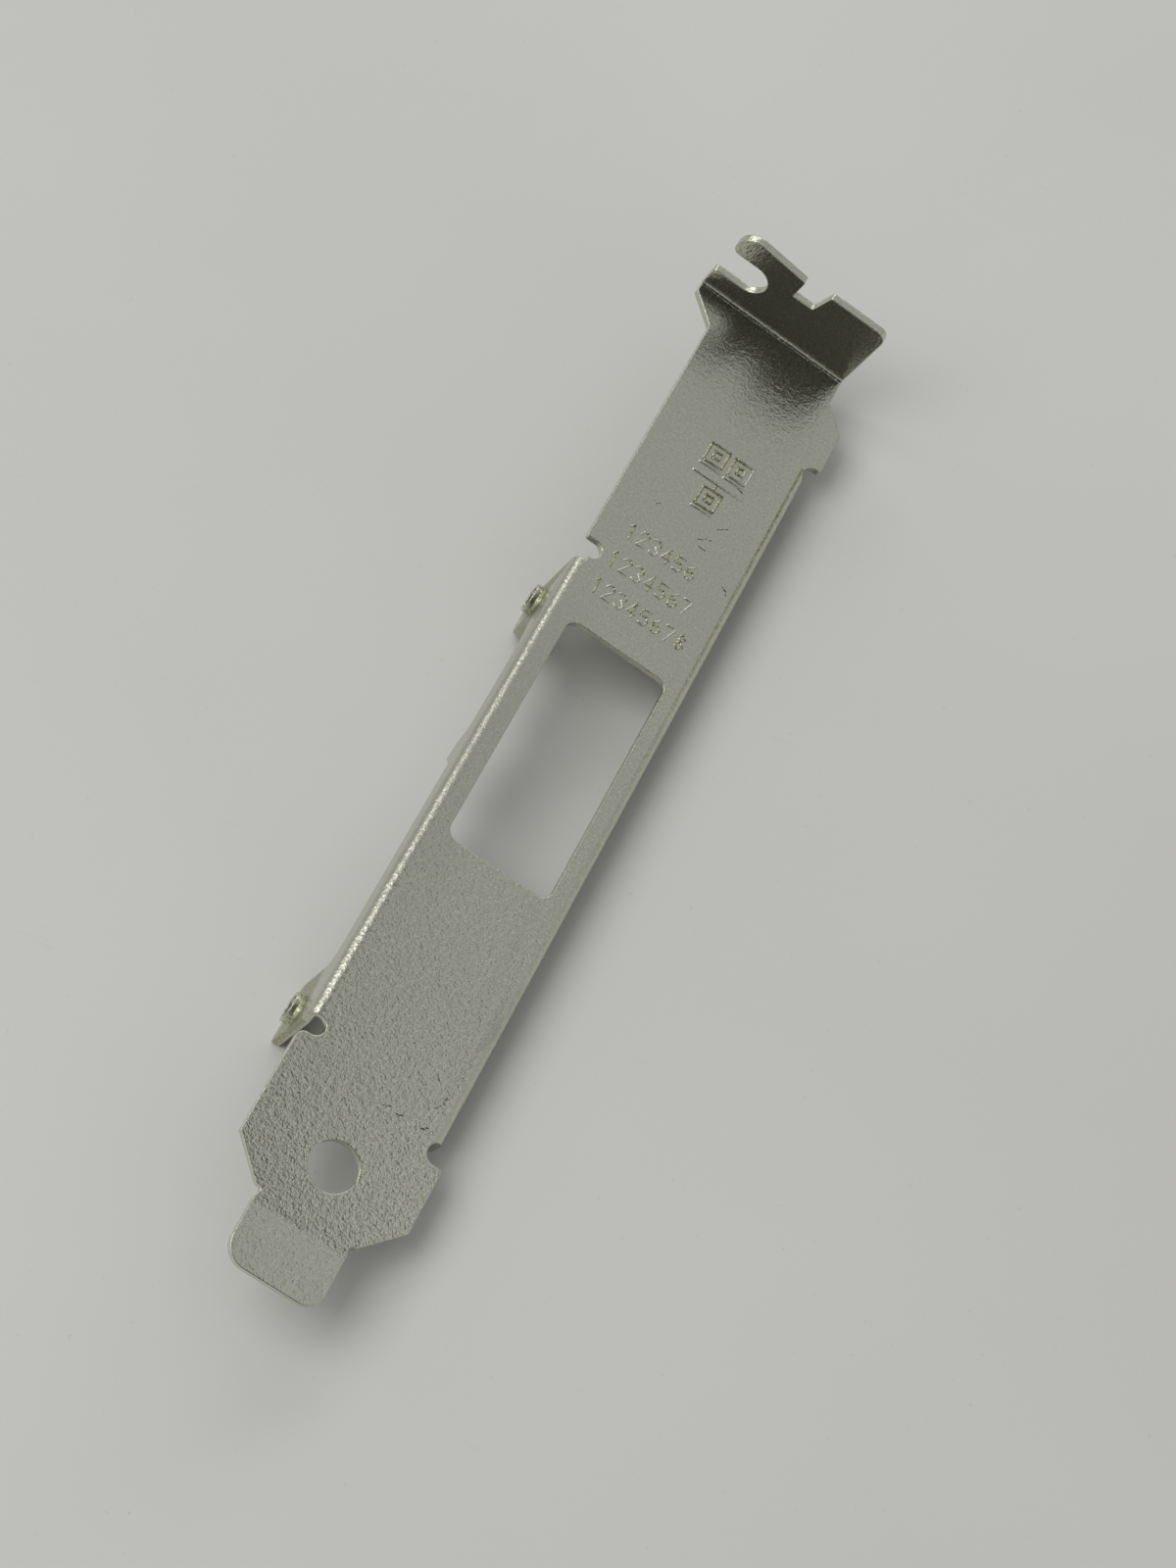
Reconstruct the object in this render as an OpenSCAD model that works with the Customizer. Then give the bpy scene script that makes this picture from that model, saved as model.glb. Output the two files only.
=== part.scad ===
// Expansion slot bracket: a full-height cover bracket for a PCI-type card,
// cut and folded from one sheet of plated steel.
//
// The bracket lies in the working frame below while it is built, and is moved
// at the end so that the origin is on the screw slot's axis, on the seat face.
//
//   x  across the bracket, 0 at the body's left edge
//   y  along it, 0 at the outer face of the top tab, the tongue's end at -120
//   z  0 on the front face; the tab rises (+z), the side walls drop (-z)

/* [Sheet] */
// Thickness of the steel sheet
sheet_t = 0.86; // [0.7:0.01:1.2]
// Inside radius of the fold at the top tab
tab_fold_r = 0.45; // [0.2:0.05:1]
// Inside radius of the folds at the two side walls
wall_fold_r = 0.3; // [0.2:0.05:1]

/* [Body] */
// Overall length, from the tab's outer face to the tongue's end
total_len = 120.02; // [119:0.01:121]
// Width of the body
body_w = 18.42; // [18:0.01:19]
// How far down the neck keeps the tab's full width on the left
neck_top_y = 2.05; // [1.5:0.05:3]
// Where the left shoulder under the neck meets the body's edge
neck_left_y = 5.0; // [4:0.1:7]
// Where the right shoulder under the neck meets the body's edge
neck_right_y = 7.05; // [5:0.05:9]
// How far in the neck's right side stands from the body's edge
neck_right_in = 2.76; // [2:0.02:4]
// Height of the lower shoulders' outer corners, from the top
shoulder_y = 108.9; // [108:0.05:110]
// Height of the lower shoulders' roots, from the top
root_y = 112.75; // [112:0.05:114]

/* [Tab] */
// How far the tab's tip stands out from the front face
tab_out = 10.57; // [10:0.01:12]
// How far the tab overhangs the body's left edge
tab_over = 3.12; // [2.5:0.01:3.5]
// Width of the open screw slot
slot_w = 4.42; // [4:0.01:5]
// Distance of the screw slot's axis from the front face
slot_z = 5.29; // [4.5:0.01:6]
// Distance of the screw slot's round end centre from the body's left edge
slot_x = 0.27; // [0:0.01:1]
// Left side of the square notch in the tab's front edge
notch_x = 5.1; // [4.5:0.05:6]
// Width of the square notch
notch_w = 3.2; // [2.5:0.05:4]
// Depth of the square notch
notch_d = 3.45; // [2.5:0.05:4]

/* [Tongue] */
// Left side of the tongue, from the body's left edge
tongue_x = 4.14; // [4:0.01:5]
// Width of the tongue
tongue_w = 10.19; // [10:0.01:10.4]
// How far the tongue is sprung forwards at its end, in degrees
tongue_lift = 5.5; // [0:0.5:10]

/* [Openings] */
// Width of the connector window
window_w = 12.1; // [8:0.05:14]
// Height of the connector window
window_h = 28; // [15:0.1:60]
// Centre of the connector window, from the top
window_y = 58.84; // [40:0.02:80]
// Corner radius of the connector window
window_r = 1.25; // [0.3:0.05:3]
// Diameter of the round cable hole
hole_d = 5.04; // [3:0.02:8]
// Centre of the round cable hole, from the top
hole_y = 107.25; // [90:0.05:108]

/* [Left wall] */
// Depth of the rail between the two board ears, from the front face
rail_h = 3.85; // [3:0.05:8]
// Depth of the two board ears, from the front face
ear_h = 12.65; // [10:0.05:16]
// Centre of the upper ear's threaded hole, from the top
ear_hole_1 = 41.2; // [38:0.05:44]
// Spacing of the two threaded holes
ear_spacing = 52.4; // [40:0.1:80]
// Depth of the threaded holes' axes, from the front face
ear_hole_h = 7.5; // [6:0.05:10]
// Bore of the threaded holes, to the crests of their M3 thread
thread_bore = 2.5; // [2:0.05:3.5]
// How far the drawn collar stands out of the ear
collar_h = 0.9; // [0.4:0.05:1.6]
// Diameter of the drawn collar
collar_d = 3.3; // [3:0.05:4.5]

/* [Right wall] */
// Depth of the right wall, from the front face
wall_h = 4.7; // [3:0.1:8]
// How far the right wall's outer face is set in from the body's edge
wall_inset = 1.07; // [0:0.01:2]
// Width of the round boss pressed out of the right wall
boss_w = 3.4; // [2:0.1:4]
// Height of the boss's crown off the wall
boss_h = 0.4; // [0.2:0.05:0.6]

/* [Hidden] */
$fn = 64;
steel = [0.62, 0.62, 0.58];

e = 0.02;                             // overlap of joined solids
neck_x = body_w - neck_right_in;      // neck's and tab's right side
tab_ro = tab_fold_r + sheet_t;        // outside radius of the tab's fold
wall_ro = wall_fold_r + sheet_t;      // outside radius of the walls' folds
right_x = body_w - wall_inset;        // right wall's outer face
flat_x0 = wall_ro;                    // where the flat sheet meets the left fold
flat_x1 = right_x - wall_ro;          // where the flat sheet meets the right fold
window_x = 8.84;                      // middle of the connector window
hole_x = 9.21;                        // middle of the round hole

// relief notches at the walls' ends: [end centre x, centre y, radius]
relief_lt = [flat_x0, -36.55, 1.03];  // left wall, top
relief_lb = [flat_x0, -96.52, 1.04];  // left wall, bottom
relief_rt = [17.8, -13.4, 1.03];      // right wall, top
relief_rb = [17.33, -100.78, 1.14];   // right wall, bottom

// corners of the front's outline, as [x, y, radius]
punch_r = 0.25;                       // the punch's own small corners
neck_r = 0.6;                         // corners of the neck
lip_r = 0.85;                         // lip beside the left wall's bottom notch
foot_l = [3.72, -root_y + 0.33, 0.5];                 // left shoulder's foot
nick_l = [4.5, -root_y + 0.25, 0.4];                  // nick between it and the tongue
foot_r = [tongue_x + tongue_w + 0.44, -root_y, 0.2];  // right shoulder's foot
nick_r = [tongue_x + tongue_w - 0.29, -root_y - 0.05, 0.35];
nick_h = 0.9;                         // height of the nicks

tongue_x1 = tongue_x + tongue_w;
lift_y = -root_y - 0.95;              // where the tongue starts to lift
fold_y = lift_y - 0.3;                // middle of the tongue's slight fold
tongue_fold_r = 2;                    // inside radius of that fold
tongue_run = total_len + fold_y + 1;  // the profile's run past that fold, 1 over the outline
tongue_tip_l = 2.4;                   // radius of the tongue's left and right tip
tongue_tip_r = 2;

prong_z = tab_out + 0.75;             // the hooked prong stands a little past the tab's edge
prong_x = -tab_over + 0.05;
notch_lean = 0.65;                    // how far the square notch's right side slopes

// left wall, heights from the top
wall_l_top = -38.2;                   // its upper end
wall_l_end = relief_lb[1] + relief_lb[2];
ear_1_low = -42.9;                    // the upper ear's lower side, at the ear's edge
ear_1_foot = -48;                     // and where it runs out on the rail
stop_y = [-59.7, -61, -62.9, -64.4];  // corners of the small stop on the rail
stop_h = [5.9, 6.3];                  // depth of its two outer corners
ear_2_top = -89.07;                   // the lower ear's upper side
ear_2_low = -95.9;                    // and its lower side
ear_y1 = -ear_hole_1;                 // threaded holes
ear_y2 = -ear_hole_1 - ear_spacing;
flare = 0.35;                         // width of the cone at a collar's foot
dimple = 0.35;                        // depth of the dimple that the punch leaves in the hole

// right wall
wall_r_top = relief_rt[1] - relief_rt[2];
wall_r_end = relief_rb[1] + relief_rb[2];
wall_r_corner = 0.8;                  // radius of its free corners
boss_y = -54.5;                       // middle of the boss
boss_z = -2.95;
boss_r = (pow(boss_w / 2, 2) + pow(boss_h, 2)) / (2 * boss_h);

function unit(v) = v / norm(v);
// points of one rounded corner at b, coming from a and leaving towards c
function corner(a, b, c, r) =
    let (u = unit(a - b), v = unit(c - b),
         half = acos(max(-1, min(1, u * v))) / 2,
         d = r / tan(half),
         p = b + u * d,
         m = b + unit(u + v) * (r / sin(half)),
         s = atan2(p[1] - m[1], p[0] - m[0]),
         turn = (u[0] * v[1] - u[1] * v[0]) > 0 ? -1 : 1,
         sweep = turn * (180 - 2 * half),
         n = max(2, ceil(abs(sweep) / 11.25)))
    [for (i = [0 : n]) m + r * [cos(s + sweep * i / n), sin(s + sweep * i / n)]];
// outline from corners written as [x, y, radius]
function rounded(p) =
    [for (i = [0 : len(p) - 1])
        let (n = len(p), a = p[(i + n - 1) % n], b = p[i], c = p[(i + 1) % n])
        each b[2] == 0 ? [[b[0], b[1]]]
            : corner([a[0], a[1]], [b[0], b[1]], [c[0], c[1]], b[2])];

// a quarter of a tube of the sheet's thickness: a fold of inside radius r, its axis on z
module fold(r, length) {
    rotate_extrude(angle = 90)
        translate([r, 0]) square([sheet_t, length]);
}

// the front's outline, as if the sheet were flat and had no openings
module front_outline() {
    polygon(rounded([
        [-tab_over, -tab_ro, 0],
        [-tab_over, -neck_top_y, punch_r],
        [0, -neck_left_y, neck_r],
        [0, relief_lt[1] + relief_lt[2], punch_r],
        [flat_x0, relief_lt[1] + relief_lt[2], 0],
        [flat_x0, relief_lb[1] - relief_lb[2], 0],
        [0, relief_lb[1] - relief_lb[2], lip_r],
        [0, -shoulder_y, punch_r],
        foot_l,
        nick_l,
        [tongue_x, -root_y - nick_h, punch_r],
        [tongue_x, lift_y, 0],
        [tongue_x1, lift_y, 0],
        [tongue_x1, -root_y - nick_h, punch_r],
        nick_r,
        foot_r,
        [body_w, -shoulder_y, punch_r],
        [body_w, relief_rb[1] - relief_rb[2], punch_r],
        [relief_rb[0], relief_rb[1] - relief_rb[2], 0],
        [relief_rb[0], relief_rb[1], 0],
        [flat_x1, relief_rb[1], 0],
        [flat_x1, relief_rt[1], 0],
        [relief_rt[0], relief_rt[1], 0],
        [relief_rt[0], relief_rt[1] + relief_rt[2], 0],
        [body_w, relief_rt[1] + relief_rt[2], punch_r],
        [body_w, -neck_right_y, neck_r],
        [neck_x, -neck_right_y + neck_right_in, neck_r],
        [neck_x, -tab_ro, 0]
    ]));
}

// connector window, its corners rounded
module window_outline() {
    translate([window_x, -window_y])
        polygon(rounded([
            [-window_w / 2, -window_h / 2, window_r],
            [window_w / 2, -window_h / 2, window_r],
            [window_w / 2, window_h / 2, window_r],
            [-window_w / 2, window_h / 2, window_r]
        ]));
}

// the flat front
module front() {
    translate([0, 0, -sheet_t])
        linear_extrude(sheet_t)
            difference() {
                front_outline();
                window_outline();
                translate([hole_x, -hole_y]) circle(d = hole_d);
                for (r = [relief_lt, relief_lb, relief_rt, relief_rb])
                    translate([r[0], r[1]]) circle(r[2]);
            }
}

// the tongue, which drops in the slot at the foot of the case's rear wall:
// its lifted side profile, cut to its outline
module tongue() {
    intersection() {
        translate([tongue_x, 0, 0])
            rotate([90, 0, 90])
                linear_extrude(tongue_w)
                    polygon(rounded([
                        [lift_y, 0, 0],
                        [fold_y, 0, tongue_fold_r],
                        [fold_y - tongue_run, tongue_run * tan(tongue_lift), 0],
                        [fold_y - tongue_run,
                         tongue_run * tan(tongue_lift) - sheet_t / cos(tongue_lift), 0],
                        [fold_y - sheet_t * tan(tongue_lift / 2), -sheet_t, tongue_fold_r + sheet_t],
                        [lift_y, -sheet_t, 0]
                    ]));
        translate([0, 0, -2 * sheet_t])
            linear_extrude(4 * sheet_t)
                polygon(rounded([
                    [tongue_x, lift_y, 0],
                    [tongue_x, -total_len, tongue_tip_l],
                    [tongue_x1, -total_len, tongue_tip_r],
                    [tongue_x1, lift_y, 0]
                ]));
    }
}

// the top tab with its fold; the screw slot is open to the left
module tab() {
    translate([-tab_over, -tab_ro, tab_fold_r])
        rotate([90, 0, 90])
            rotate([0, 0, -90])
                fold(tab_fold_r, tab_over + neck_x);
    rotate([90, 0, 0])
        linear_extrude(sheet_t)
            difference() {
                polygon(rounded([
                    [-tab_over, tab_fold_r, 0],
                    [-tab_over, slot_z - slot_w / 2, 0.4],
                    [slot_x, slot_z - slot_w / 2, 0],
                    [slot_x, slot_z + slot_w / 2, 0],
                    [prong_x, slot_z + slot_w / 2, 0.9],
                    [prong_x, prong_z, 2.1],
                    [notch_x, tab_out - 0.45, punch_r],
                    [notch_x, tab_out - notch_d, punch_r],
                    [notch_x + notch_w - notch_lean, tab_out - notch_d, 0.4],
                    [notch_x + notch_w, tab_out, punch_r],
                    [neck_x, tab_out, 1.3],
                    [neck_x, tab_fold_r, 0]
                ]));
                translate([slot_x, slot_z]) circle(d = slot_w);
            }
}

// the threaded collar drawn out of an ear, its axis on x, standing out to -x
module collar() {
    translate([-collar_h, 0, 0])
        rotate([0, 90, 0]) cylinder(h = collar_h + e, d = collar_d);
    translate([-flare, 0, 0])
        rotate([0, 90, 0]) cylinder(h = flare + e, d1 = collar_d, d2 = collar_d + 2 * flare);
}

// the threaded hole through ear and collar, with the dimple left by the punch
module threaded_bore() {
    translate([-collar_h - 1, 0, 0])
        rotate([0, 90, 0]) cylinder(h = collar_h + sheet_t + 2, d = thread_bore);
    translate([sheet_t - dimple, 0, 0])
        rotate([0, 90, 0]) cylinder(h = dimple + e, d1 = thread_bore, d2 = thread_bore + 2 * dimple);
}

// the left wall with the two ears that carry the card, as [y, -depth, radius]
module left_wall() {
    difference() {
        union() {
            translate([flat_x0, wall_l_top, -wall_ro])
                rotate([90, 0, 0]) rotate([0, 0, 90])
                    fold(wall_fold_r, wall_l_top - wall_l_end);
            rotate([90, 0, 90])
                linear_extrude(sheet_t)
                    polygon(rounded([
                        [wall_l_top, -wall_ro, 0],
                        [wall_l_top, -ear_h, 0.6],
                        [ear_1_low, -ear_h, 2.5],
                        [ear_1_foot, -rail_h, 0.6],
                        [stop_y[0], -rail_h, 1.5],
                        [stop_y[1], -stop_h[0], 0.8],
                        [stop_y[2], -stop_h[1], 0.5],
                        [stop_y[3], -rail_h, 0.3],
                        [ear_2_top, -rail_h, 2],
                        [ear_2_top, -ear_h, 1],
                        [ear_2_low, -ear_h, 0.6],
                        [ear_2_low, -2 * wall_ro, 0.4],
                        [wall_l_end, -wall_ro - e, 0],
                        [wall_l_end, -wall_ro, 0]
                    ]));
            translate([0, ear_y1, -ear_hole_h]) collar();
            translate([0, ear_y2, -ear_hole_h]) collar();
        }
        translate([0, ear_y1, -ear_hole_h]) threaded_bore();
        translate([0, ear_y2, -ear_hole_h]) threaded_bore();
    }
}

// a cap of height h cut from a ball of radius r, on z, with a short foot below
module dome(r, h, foot) {
    rotate_extrude()
        intersection() {
            translate([0, h - r]) circle(r);
            translate([0, -foot]) square([r, h + foot]);
        }
}

// the round end of a relief notch, cut down through sheet and fold
module relief_end(r) {
    translate([r[0], r[1], -wall_ro]) cylinder(h = wall_ro + 1, r = r[2]);
}

// the right wall, with a shallow round boss pressed outwards
module right_wall() {
    difference() {
        union() {
            translate([flat_x1, relief_rt[1], -wall_ro])
                rotate([90, 0, 0])
                    fold(wall_fold_r, relief_rt[1] - relief_rb[1]);
            translate([right_x - sheet_t, 0, 0])
                rotate([90, 0, 90])
                    linear_extrude(sheet_t)
                        polygon(rounded([
                            [wall_r_top, -wall_ro, 0],
                            [wall_r_top, -wall_h, wall_r_corner],
                            [wall_r_end, -wall_h, wall_r_corner],
                            [wall_r_end, -wall_ro, 0]
                        ]));
            translate([right_x, boss_y, boss_z]) rotate([0, 90, 0]) dome(boss_r, boss_h, sheet_t / 2);
        }
        translate([right_x - sheet_t, boss_y, boss_z])
            rotate([0, 90, 0]) dome(boss_r - sheet_t, boss_h, sheet_t / 4);
        relief_end(relief_rt);
        relief_end(relief_rb);
    }
}

module bracket() {
    color(steel) {
        front();
        tongue();
        tab();
        left_wall();
        right_wall();
    }
}

// the origin goes to the screw slot's axis, on the tab's inner face
translate([-slot_x, sheet_t, -slot_z]) {
    bracket();
}
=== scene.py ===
import math
import random

import bmesh
import bpy
from mathutils import Matrix, Vector


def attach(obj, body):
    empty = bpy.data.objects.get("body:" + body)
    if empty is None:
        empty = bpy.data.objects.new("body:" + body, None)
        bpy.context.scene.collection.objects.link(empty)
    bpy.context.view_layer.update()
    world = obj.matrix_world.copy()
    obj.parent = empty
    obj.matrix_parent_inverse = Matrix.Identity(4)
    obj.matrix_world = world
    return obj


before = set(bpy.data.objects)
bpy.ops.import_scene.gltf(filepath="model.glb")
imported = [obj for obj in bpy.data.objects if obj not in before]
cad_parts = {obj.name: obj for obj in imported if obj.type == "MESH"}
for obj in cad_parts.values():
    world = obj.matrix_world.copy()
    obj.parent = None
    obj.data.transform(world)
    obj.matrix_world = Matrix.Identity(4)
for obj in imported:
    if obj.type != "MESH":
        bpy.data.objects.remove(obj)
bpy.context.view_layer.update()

MM = 0.001
ORIGIN = Vector((-0.27, 0.86, -5.29))    # the front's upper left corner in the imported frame, mm
MIDDLE_X, MIDDLE_Y = 9, -60              # about the middle of the front, mm


def at(x, y, z=0.0):
    """A point given from the front's upper left corner, in mm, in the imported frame."""
    return (Vector((x, y, z)) + ORIGIN) * MM


def linear(r, g, b):
    """A colour given as 0-255 screen values, as the shader wants it."""
    return tuple(((c / 255 + 0.055) / 1.055) ** 2.4 if c > 10 else c / 3294 for c in (r, g, b))


# ---------------------------------------------------------------- node helpers

class Nodes:
    """Short calls for building one material."""

    def __init__(self, name):
        self.material = bpy.data.materials.new(name)
        self.material.use_nodes = True
        self.tree = self.material.node_tree
        self.tree.nodes.clear()
        self.output = self.tree.nodes.new("ShaderNodeOutputMaterial")
        self.shader = self.tree.nodes.new("ShaderNodeBsdfPrincipled")
        self.link(self.shader.outputs[0], self.output.inputs[0])

    def link(self, a, b):
        self.tree.links.new(a, b)

    def add(self, kind, **values):
        node = self.tree.nodes.new(kind)
        for key, value in values.items():
            setattr(node, key, value)
        return node

    def place(self, scale=(1, 1, 1)):
        """The point on the object, stretched by scale."""
        coord = self.add("ShaderNodeTexCoord")
        mapping = self.add("ShaderNodeMapping")
        mapping.inputs["Scale"].default_value = scale
        self.link(coord.outputs["Object"], mapping.inputs["Vector"])
        return mapping.outputs["Vector"]

    def noise(self, where, scale, detail=2.0, rough=0.5):
        node = self.add("ShaderNodeTexNoise")
        node.inputs["Scale"].default_value = scale
        node.inputs["Detail"].default_value = detail
        node.inputs["Roughness"].default_value = rough
        self.link(where, node.inputs["Vector"])
        return node.outputs["Fac"]

    def span(self, value, low, high, to_low=0.0, to_high=1.0):
        """A soft step, from to_low where value is low to to_high where it is high."""
        node = self.add("ShaderNodeMapRange", interpolation_type="SMOOTHSTEP")
        for key, number in (("From Min", low), ("From Max", high),
                            ("To Min", to_low), ("To Max", to_high)):
            node.inputs[key].default_value = number
        self.link(value, node.inputs["Value"])
        return node.outputs["Result"]

    def math(self, kind, a, b):
        node = self.add("ShaderNodeMath", operation=kind)
        for socket, value in zip(node.inputs, (a, b)):
            if isinstance(value, (int, float)):
                socket.default_value = value
            else:
                self.link(value, socket)
        return node.outputs[0]

    def times(self, a, b):
        return self.math("MULTIPLY", a, b)

    def mix(self, factor, a, b):
        """Colour a where factor is 0 and colour b where it is 1."""
        node = self.add("ShaderNodeMix", data_type="RGBA")
        sockets = [s for s in node.inputs if s.type == "RGBA"]
        self.link(factor, node.inputs[0])
        for socket, value in zip(sockets, (a, b)):
            if isinstance(value, tuple):
                socket.default_value = (*value, 1.0)
            else:
                self.link(value, socket)
        return [s for s in node.outputs if s.type == "RGBA"][0]

    def rough_up(self, height, strength, distance):
        """A bump node for height, already linked to the shader."""
        bump = self.add("ShaderNodeBump")
        bump.inputs["Strength"].default_value = strength
        bump.inputs["Distance"].default_value = distance
        self.link(height, bump.inputs["Height"])
        self.link(bump.outputs[0], self.shader.inputs["Normal"])
        return bump


# ---------------------------------------------------------------- the camera

FOCAL = 2939.3                           # focal length for a frame FRAME_H high
FRAME_H = 1600.0
SENSOR = 36.0
CLIP_NEAR, CLIP_FAR = 0.01, 20.0
EYE = Vector((-35.36, -191.35, 250.65))
RIGHT = Vector((0.8172, 0.4306, 0.3830))
AHEAD = Vector((0.1672, 0.4589, -0.8726))


def make_camera():
    data = bpy.data.cameras.new("camera")
    data.sensor_fit = "AUTO"
    data.sensor_width = SENSOR
    data.lens = FOCAL * SENSOR / FRAME_H
    data.clip_start, data.clip_end = CLIP_NEAR, CLIP_FAR
    camera = bpy.data.objects.new("camera", data)
    bpy.context.scene.collection.objects.link(camera)
    back = -AHEAD.normalized()
    right = (RIGHT - RIGHT.dot(back) * back).normalized()
    up = back.cross(right)
    turn = Matrix((right, up, back)).transposed().to_4x4()
    camera.matrix_world = Matrix.Translation((EYE + ORIGIN) * MM) @ turn
    bpy.context.scene.camera = camera


# ---------------------------------------------------------------- the stage

# the floor passes under the ears' tips and the right wall's lower edge: x and z of both, mm
EAR_TIP = (0.0, -12.65)
WALL_EDGE = (17.35, -4.7)
FLOOR_GAP = 0.05                         # clear of both, mm
FLOOR_SIZE = 3.0
FLOOR_COLOR = linear(192, 193, 189)
FLOOR_CLOUD = linear(188, 188, 184)
FLOOR_SCRATCH = linear(150, 150, 146)
FLOOR_SPECK = linear(105, 105, 101)
CARD_SIZE = 0.44
CARD_BEHIND = 0.02                       # how far behind the eye the card stands
CARD_COLOR = linear(16, 15, 11)


def floor_frame():
    """Middle, and the directions across, along and up, of the floor under the bracket."""
    slope = (WALL_EDGE[1] - EAR_TIP[1]) / (WALL_EDGE[0] - EAR_TIP[0])
    across = Vector((1, 0, slope)).normalized()
    along = Vector((0, 1, 0))
    up = across.cross(along)
    middle = at(EAR_TIP[0], MIDDLE_Y, EAR_TIP[1]) - up * FLOOR_GAP * MM
    return middle, across, along, up


def floor_material():
    m = Nodes("stage_floor")
    where = m.place()
    cloud = m.span(m.noise(where, 9, 4), 0.3, 0.7)
    scratch = m.span(m.noise(m.place((60, 700, 60)), 1.0, 6, 0.7), 0.66, 0.74)
    speck = m.span(m.noise(where, 1500, 1), 0.2, 0.24, 1.0, 0.0)
    colour = m.mix(cloud, FLOOR_COLOR, FLOOR_CLOUD)
    colour = m.mix(m.times(scratch, 0.12), colour, FLOOR_SCRATCH)
    colour = m.mix(m.times(speck, 0.12), colour, FLOOR_SPECK)
    m.link(colour, m.shader.inputs["Base Color"])
    m.shader.inputs["Roughness"].default_value = 0.6
    m.shader.inputs["Specular IOR Level"].default_value = 0.3
    # from behind, in views taken from under its raised side, the floor lets the camera through
    path = m.add("ShaderNodeLightPath")
    geometry = m.add("ShaderNodeNewGeometry")
    clear = m.add("ShaderNodeBsdfTransparent")
    gate = m.add("ShaderNodeMixShader")
    m.link(m.times(path.outputs["Is Camera Ray"], geometry.outputs["Backfacing"]), gate.inputs[0])
    m.link(m.shader.outputs[0], gate.inputs[1])
    m.link(clear.outputs[0], gate.inputs[2])
    m.link(gate.outputs[0], m.output.inputs[0])
    return m.material


def square(name, middle, across, along, size):
    mesh = bpy.data.meshes.new(name)
    a, b = across * size / 2, along * size / 2
    corners = [middle - a - b, middle + a - b, middle + a + b, middle - a + b]
    mesh.from_pydata([tuple(c) for c in corners], [], [(0, 1, 2, 3)])
    piece = bpy.data.objects.new(name, mesh)
    bpy.context.scene.collection.objects.link(piece)
    return piece


def make_floor():
    middle, across, along, _ = floor_frame()
    floor = square("stage_floor", middle, across, along, FLOOR_SIZE)
    floor.data.materials.append(floor_material())


def make_card():
    """The unlit hand and phone of whoever looks, which only the bright metal mirrors."""
    eye = (EYE + ORIGIN) * MM
    ahead = AHEAD.normalized()
    right = RIGHT.normalized()
    card = square("stage_card", eye - ahead * CARD_BEHIND, right, right.cross(ahead), CARD_SIZE)
    dark = Nodes("stage_card")
    dark.shader.inputs["Base Color"].default_value = (*CARD_COLOR, 1)
    dark.shader.inputs["Roughness"].default_value = 1.0
    card.data.materials.append(dark.material)
    card.visible_camera = False
    card.visible_shadow = False
    card.visible_diffuse = False


# ---------------------------------------------------------------- the lights

SKY_COLOR = (0.97, 0.98, 1.0, 1)
SKY_STRENGTH = 0.44

# where each big lamp stands from the middle (across, along, up), its size, in m, its watts and colour
LAMPS = {
    "lamp_top": ((-0.45, -0.15, 0.9), (0.9, 0.9), 6.3, (1.0, 0.995, 0.97)),
    "lamp_far": ((-0.2, 0.95, 0.55), (1.2, 0.4), 3.0, (1.0, 1.0, 1.0)),
}
# the near lamp is mirrored by the lower half of the front
NEAR_TARGET = (9, -112)
NEAR_STEP = Vector((0.17, 0.16, 0.97)) * 0.8
NEAR_SIZE = (0.3, 0.3)
NEAR_WATTS = 0.11
NEAR_COLOR = (1.0, 1.0, 0.96)


def area_light(name, place, target, size, watts, colour):
    data = bpy.data.lights.new(name, "AREA")
    data.shape = "RECTANGLE"
    data.size, data.size_y = size
    data.energy = watts
    data.color = colour
    lamp = bpy.data.objects.new(name, data)
    lamp.location = place
    lamp.rotation_euler = (Vector(target) - Vector(place)).to_track_quat("-Z", "Y").to_euler()
    bpy.context.scene.collection.objects.link(lamp)


def make_lights():
    world = bpy.data.worlds.new("world")
    bpy.context.scene.world = world
    world.use_nodes = True
    background = world.node_tree.nodes["Background"]
    background.inputs["Color"].default_value = SKY_COLOR
    background.inputs["Strength"].default_value = SKY_STRENGTH
    _, across, along, up = floor_frame()
    target = at(MIDDLE_X, MIDDLE_Y)
    for name, (step, size, watts, colour) in LAMPS.items():
        place = target + across * step[0] + along * step[1] + up * step[2]
        area_light(name, place, target, size, watts, colour)
    near = at(*NEAR_TARGET)
    area_light("lamp_near", near + NEAR_STEP, near, NEAR_SIZE, NEAR_WATTS, NEAR_COLOR)


# ---------------------------------------------------------------- the metal

PLATE_LIGHT = linear(200, 202, 170)
PLATE_DARK = linear(124, 125, 98)
PLATE_CLOUD = linear(163, 164, 138)
# painted shade in the soft crease
PLATE_CREASE_SHADE = linear(128, 128, 108)
# painted shade on a strip along the left side
PLATE_STRIP_SHADE = linear(120, 120, 100)
# painted sheen: the foot is painted lighter, standing in for a reflection
PLATE_FOOT_SHEEN = linear(222, 223, 203)
# painted highlight along the edges and folds
PLATE_EDGE_HIGHLIGHT = linear(225, 225, 214)
# a patchy darker band along the right-hand fold
PLATE_FOLD_DARK = linear(84, 82, 66)
ROLLED_LIGHT = linear(215, 215, 205)
ROLLED_DARK = tuple(c * 0.45 for c in ROLLED_LIGHT)
GRAIN_DEPTH = 0.0001
ROLLOVER = 0.2                           # radius of the cut edges, mm
FOLD_X = 16.4                            # the right-hand fold, mm
CREASE_X = 14.1                          # the soft crease below the window's lower right corner, mm


def stripe(m, x, middle, left, right):
    """1 on a line down the front, fading to 0 on its left and right, in mm."""
    line = at(middle, 0).x
    return m.times(m.span(x, line - left * MM, line), m.span(x, line + right * MM, line))


def stretch(m, y, start, full, low, end):
    """0 above start, 1 from full down to low, and 0 again below end, in mm."""
    return m.times(m.span(y, at(0, start).y, at(0, full).y), m.span(y, at(0, end).y, at(0, low).y))


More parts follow.
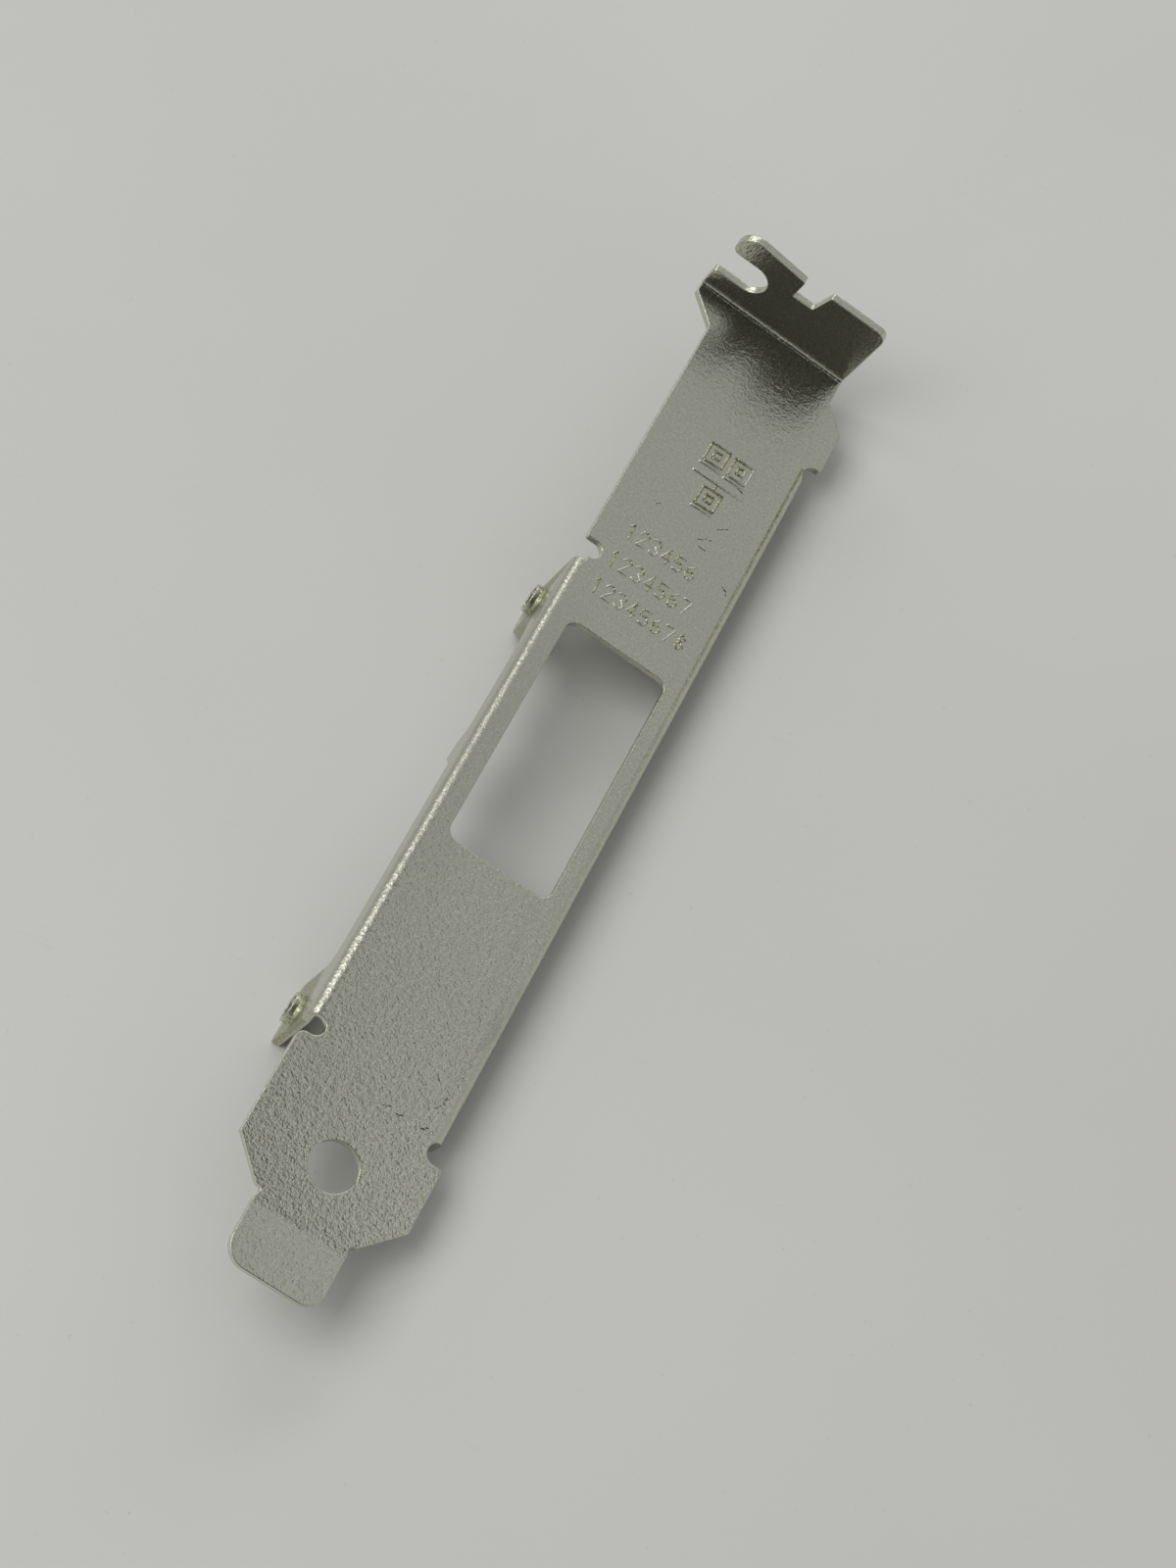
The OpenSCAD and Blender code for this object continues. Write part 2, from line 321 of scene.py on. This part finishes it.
def front_tone_masks(m, where):
    """Masks on the front: painted sheen on the foot, a patchy darker band along the right-hand fold,
    painted shade along the crease and painted shade on a strip along the left side.
    """
    axes = m.add("ShaderNodeSeparateXYZ")
    m.link(where, axes.inputs[0])
    x, y, _ = axes.outputs
    # painted sheen: lighter towards the foot
    foot = m.span(y, at(0, -86).y, at(0, -112).y)
    # darker in patches along the right-hand fold, lower down the front
    fold_patches = m.span(m.noise(m.place((500, 90, 500)), 1, 5, 0.7), 0.5, 0.62)
    fold = m.times(stripe(m, x, FOLD_X, 1.6, 1.0), fold_patches)
    dark_streak = m.times(fold, stretch(m, y, -68, -76, -97, -99))
    # painted shade: darker along the soft crease below the window
    crease = m.times(stripe(m, x, CREASE_X, 1.1, 1.1), stretch(m, y, -71, -75, -80, -96))
    # painted shade: darker on a strip along the left side, between the ears
    left = m.span(x, at(7, 0).x, at(3, 0).x)
    strip_shade = m.times(left, stretch(m, y, -38, -48, -74, -86))
    return foot, dark_streak, crease, strip_shade


def plated_steel():
    """Satin nickel over a rolled sheet: fine sparkling grain, painted sheen on the foot, painted shade in
    the crease and on a strip along the left side, a patchy darker band along the right-hand fold, and
    painted highlights on the edges and folds.
    """
    m = Nodes("plated_steel")
    where = m.place()
    grain = m.noise(where, 3600, 2, 0.6)
    coarse = m.noise(where, 1500, 3, 0.6)
    cloud = m.span(m.noise(where, 70, 3), 0.3, 0.7)
    geometry = m.add("ShaderNodeNewGeometry")
    # painted highlight: lighter where the surface is sharply convex, at the edges and folds
    edge = m.span(geometry.outputs["Pointiness"], 0.505, 0.56)
    foot, dark_streak, crease, strip_shade = front_tone_masks(m, where)

    colour = m.mix(m.span(grain, 0.3, 0.7), PLATE_DARK, PLATE_LIGHT)
    tints = [
        (crease, 0.45, PLATE_CREASE_SHADE),
        (strip_shade, 0.5, PLATE_STRIP_SHADE),
        (cloud, 0.25, PLATE_CLOUD),
        (foot, 0.35, PLATE_FOOT_SHEEN),
        (dark_streak, 0.7, PLATE_FOLD_DARK),
        (edge, 0.6, PLATE_EDGE_HIGHLIGHT),
    ]
    for mask, share, tint in tints:
        colour = m.mix(m.times(mask, share), colour, tint)
    m.link(colour, m.shader.inputs["Base Color"])
    m.shader.inputs["Metallic"].default_value = 1.0
    rough = m.span(grain, 0.25, 0.75, 0.40, 0.30)
    m.link(m.math("SUBTRACT", rough, m.times(edge, 0.12)), m.shader.inputs["Roughness"])

    height = m.math("ADD", m.times(grain, 0.45), m.times(coarse, 0.75))
    bump = m.rough_up(height, 0.8, GRAIN_DEPTH)
    # the punch rolled the sheet's edges over, so they catch the light
    rim = m.add("ShaderNodeBevel", samples=6)
    rim.inputs["Radius"].default_value = ROLLOVER * MM
    m.link(rim.outputs[0], bump.inputs["Normal"])
    return m.material


def rolled_steel():
    """Bare bright steel where the threads were rolled."""
    m = Nodes("rolled_thread")
    tear = m.noise(m.place(), 900, 3, 0.65)
    m.link(m.mix(m.span(tear, 0.35, 0.65), ROLLED_DARK, ROLLED_LIGHT), m.shader.inputs["Base Color"])
    m.shader.inputs["Metallic"].default_value = 1.0
    m.link(m.span(tear, 0.3, 0.7, 0.37, 0.17), m.shader.inputs["Roughness"])
    m.rough_up(tear, 0.3, GRAIN_DEPTH)
    return m.material


# ---------------------------------------------------------------- pieces in relief

# a line's rounded section, as (share of its half width, share of its height)
SECTION = [(-1.0, 0.0), (-0.8, 0.55), (-0.4, 0.92), (0.0, 1.0), (0.4, 0.92), (0.8, 0.55), (1.0, 0.0)]
# and its rounded end, as (way along in shares of its width, share of its height)
END = [(-0.5, 0.0), (-0.36, 0.62), (0.0, 1.0)]
END_NARROW = 0.3                         # share of the width that is left at the very end
SUNK = 0.01                              # how far a line's foot stands in the sheet, mm


def ridge(bm, a, b, width, height, z=0.0):
    """A low rounded bar from a to b on the front face, in mm."""
    a, b = Vector((*a, 0)), Vector((*b, 0))
    run = (b - a).normalized()
    side = Vector((-run.y, run.x, 0))
    places = [(a + run * width * t, share) for t, share in END]
    places += [(b - run * width * t, share) for t, share in reversed(END)]
    rings = []
    for middle, share in places:
        half = (END_NARROW + (1 - END_NARROW) * share) * width / 2
        ring = []
        for across, up in SECTION:
            p = middle + side * across * half
            ring.append(bm.verts.new(at(p.x, p.y, z - SUNK + height * up * share)))
        rings.append(ring)
    join(bm, rings)


def join(bm, rings):
    """Faces between each ring of points and the next."""
    for first, second in zip(rings, rings[1:]):
        for i in range(len(first) - 1):
            bm.faces.new((first[i], second[i], second[i + 1], first[i + 1]))


def new_piece(name, bm, material):
    """A smooth piece of the bracket's front or ears, from the points and faces of bm."""
    bmesh.ops.recalc_face_normals(bm, faces=bm.faces)
    mesh = bpy.data.meshes.new(name)
    bm.to_mesh(mesh)
    bm.free()
    for face in mesh.polygons:
        face.use_smooth = True
    mesh.materials.append(material)
    piece = bpy.data.objects.new(name, mesh)
    bpy.context.scene.collection.objects.link(piece)
    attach(piece, "root")


MARK_W = 0.32                            # width and height of the sign's lines, mm
MARK_H = 0.16

# the sign, in mm from its upper left corner, right and down
SIGN_START = Vector((6.6, -17.2))
SIGN_RIGHT = Vector((0.995, 0.03))
SIGN_DOWN = Vector((-0.03, -0.995))
STATION_W, STATION_H = 2.3, 2.4
SCREEN_IN, SCREEN_W, SCREEN_H = 0.75, 0.8, 0.85
STAND_DROP, STAND_PAST = 2.9, 0.15
STATIONS = [(0.0, 0.0), (3.1, 0.1), (1.6, 5.2)]
NET_LINES = [((-0.3, 4.2), (5.9, 4.3)), ((2.75, 4.2), (2.75, 5.1))]


def network_sign(material):
    """The usual sign for a network: three stations on one line."""
    bm = bmesh.new()

    def line(start, end):
        a, b = (SIGN_START + SIGN_RIGHT * u + SIGN_DOWN * v for u, v in (start, end))
        ridge(bm, a, b, MARK_W, MARK_H)

    def box(u, v, w, h):
        corners = [(u, v), (u + w, v), (u + w, v + h), (u, v + h)]
        for i in range(4):
            line(corners[i], corners[(i + 1) % 4])

    for u, v in STATIONS:
        box(u, v, STATION_W, STATION_H)
        box(u + SCREEN_IN, v + SCREEN_IN, SCREEN_W, SCREEN_H)
        line((u - STAND_PAST, v + STAND_DROP), (u + STATION_W + STAND_PAST, v + STAND_DROP))
    for start, end in NET_LINES:
        line(start, end)
    new_piece("network_sign", bm, material)


# the digits from 1 to 8, each one stroke on a field 1 wide and 2 high
DIGITS = [
    [(0.2, 1.6), (0.55, 2), (0.55, 0)],
    [(0, 1.6), (0.3, 2), (0.7, 2), (1, 1.6), (0, 0), (1, 0)],
    [(0, 1.8), (0.3, 2), (0.7, 2), (1, 1.5), (0.5, 1.05), (1, 0.55), (0.7, 0), (0.3, 0), (0, 0.2)],
    [(0.7, 0), (0.7, 2), (0, 0.6), (1, 0.6)],
    [(1, 2), (0.1, 2), (0, 1.1), (0.7, 1.15), (1, 0.6), (0.7, 0), (0, 0.1)],
    [(0.8, 2), (0.1, 1.2), (0, 0.5), (0.3, 0), (0.7, 0), (1, 0.5), (0.7, 1.05), (0.1, 0.9)],
    [(0, 2), (1, 2), (0.4, 0)],
    [(0.5, 1.05), (0.1, 1.5), (0.5, 2), (0.9, 1.5), (0.5, 1.05), (0, 0.5), (0.5, 0), (1, 0.5), (0.5, 1.05)],
]
DIGIT_W, DIGIT_H, DIGIT_STEP = 1.0, 1.8, 1.5
DIGIT_LINE = 0.22                        # width of the digits' lines, mm
# for each line of numbers, how many digits it has and where its lower left corner is, mm
NUMBER_LINES = [(6, 3.3, -33.1), (7, 3.1, -37.0), (8, 2.9, -40.8)]


def plain_numbers(material):
    """Three lines of plain counting numbers, pressed up from the sheet."""
    bm = bmesh.new()
    for count, x, y in NUMBER_LINES:
        for i, stroke in enumerate(DIGITS[:count]):
            points = [(x + i * DIGIT_STEP + u * DIGIT_W, y + v * DIGIT_H / 2) for u, v in stroke]
            for a, b in zip(points, points[1:]):
                ridge(bm, a, b, DIGIT_LINE, MARK_H)
    new_piece("plain_numbers", bm, material)


# dark scuffs on the front: ends of each, in mm from the front's upper left corner
SCUFFS = [
    ((10.2, -28.2), (11.6, -27.5)),
    ((10.5, -28.9), (11.6, -28.95)),
    ((11.5, -26.0), (12.6, -25.2)),
    ((14.9, -31.4), (15.8, -32.0)),
    ((4.3, -27.5), (5.0, -27.4)),
    ((11.2, -20.1), (12.0, -20.5)),
    ((14.96, -97.2), (15.4, -96.5)),
    ((15.4, -96.5), (15.6, -95.6)),
    ((10.4, -99.6), (11.2, -99.3)),
    ((12.0, -99.7), (12.6, -99.5)),
    ((14.6, -99.6), (15.4, -99.2)),
]
SCUFF_SEED = 7
SCUFF_BITS = 4                           # short marks in each scuff
SCUFF_DRIFT = 0.12                       # how far a mark strays from its scuff's line, mm
SCUFF_THIN, SCUFF_WIDE = 0.07, 0.15
SCUFF_H = 0.012                          # how thick a mark is, and how far it is lifted, mm
SCUFF_DARK = linear(40, 38, 28)
SCUFF_LIGHT = linear(92, 90, 72)


def dirty_metal():
    m = Nodes("dark_streak")
    where = m.place()
    m.link(m.mix(m.noise(where, 4000, 3), SCUFF_DARK, SCUFF_LIGHT), m.shader.inputs["Base Color"])
    m.shader.inputs["Metallic"].default_value = 0.6
    m.link(m.span(m.noise(where, 2500, 2), 0.3, 0.7, 0.5, 0.8), m.shader.inputs["Roughness"])
    return m.material


def scuffs():
    """Short broken scratches that have taken up dirt."""
    draw = random.Random(SCUFF_SEED)
    bm = bmesh.new()
    for a, b in SCUFFS:
        a, b = Vector(a), Vector(b)
        for i in range(SCUFF_BITS):
            start = (i + draw.uniform(0, 0.3)) / SCUFF_BITS
            end = (i + draw.uniform(0.6, 1.0)) / SCUFF_BITS
            across = draw.uniform(-SCUFF_DRIFT, SCUFF_DRIFT)
            along = draw.uniform(-SCUFF_DRIFT, SCUFF_DRIFT)
            drift = Vector((across, along))
            width = draw.uniform(SCUFF_THIN, SCUFF_WIDE)
            ridge(bm, a.lerp(b, start) + drift, a.lerp(b, end) + drift, width, SCUFF_H, SCUFF_H)
    new_piece("scuffs", bm, dirty_metal())


# ---------------------------------------------------------------- threads in the ears

HOLE_Y = {"thread_upper": -41.2, "thread_lower": -93.6}
HOLE_Z = -7.5
COLLAR_H = 0.9
THREAD_R, THREAD_CREST, PITCH = 1.27, 1.07, 0.5
THREAD_START, THREAD_END = -COLLAR_H + 0.12, 0.40
BORE_START, BORE_END = -COLLAR_H + 0.02, 0.5
AROUND = 40                              # steps in one turn
RUN_OUT = 10                             # steps over which the thread fades at each end
# the thread's section: way along the bore and radius
PROFILE = [(-0.22, THREAD_R), (-0.05, THREAD_CREST), (0.05, THREAD_CREST), (0.22, THREAD_R)]


def thread(name, material):
    """The M3 thread on the wall of one hole, as a ridge wound round the bore."""
    bm = bmesh.new()
    count = int((THREAD_END - THREAD_START) / PITCH * AROUND)
    rings = []
    for i in range(count + 1):
        angle = 2 * math.pi * i / AROUND
        x = THREAD_START + PITCH * i / AROUND
        fade = min(1.0, i / RUN_OUT, (count - i) / RUN_OUT)
        ring = []
        for dx, r in PROFILE:
            reach = THREAD_R - (THREAD_R - r) * fade
            place = max(BORE_START, min(BORE_END, x + dx))
            y = HOLE_Y[name] + reach * math.cos(angle)
            z = HOLE_Z + reach * math.sin(angle)
            ring.append(bm.verts.new(at(place, y, z)))
        rings.append(ring)
    join(bm, rings)
    new_piece(name, bm, material)


# ---------------------------------------------------------------- the object

make_camera()
make_floor()
make_card()
make_lights()
bpy.context.scene.view_settings.view_transform = "Standard"

steel = plated_steel()
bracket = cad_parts["bracket"]
if not bracket.data.materials:
    bracket.data.materials.append(steel)
for holder in bracket.material_slots:
    holder.material = steel

network_sign(steel)
plain_numbers(steel)
scuffs()
rolled = rolled_steel()
for name in HOLE_Y:
    thread(name, rolled)
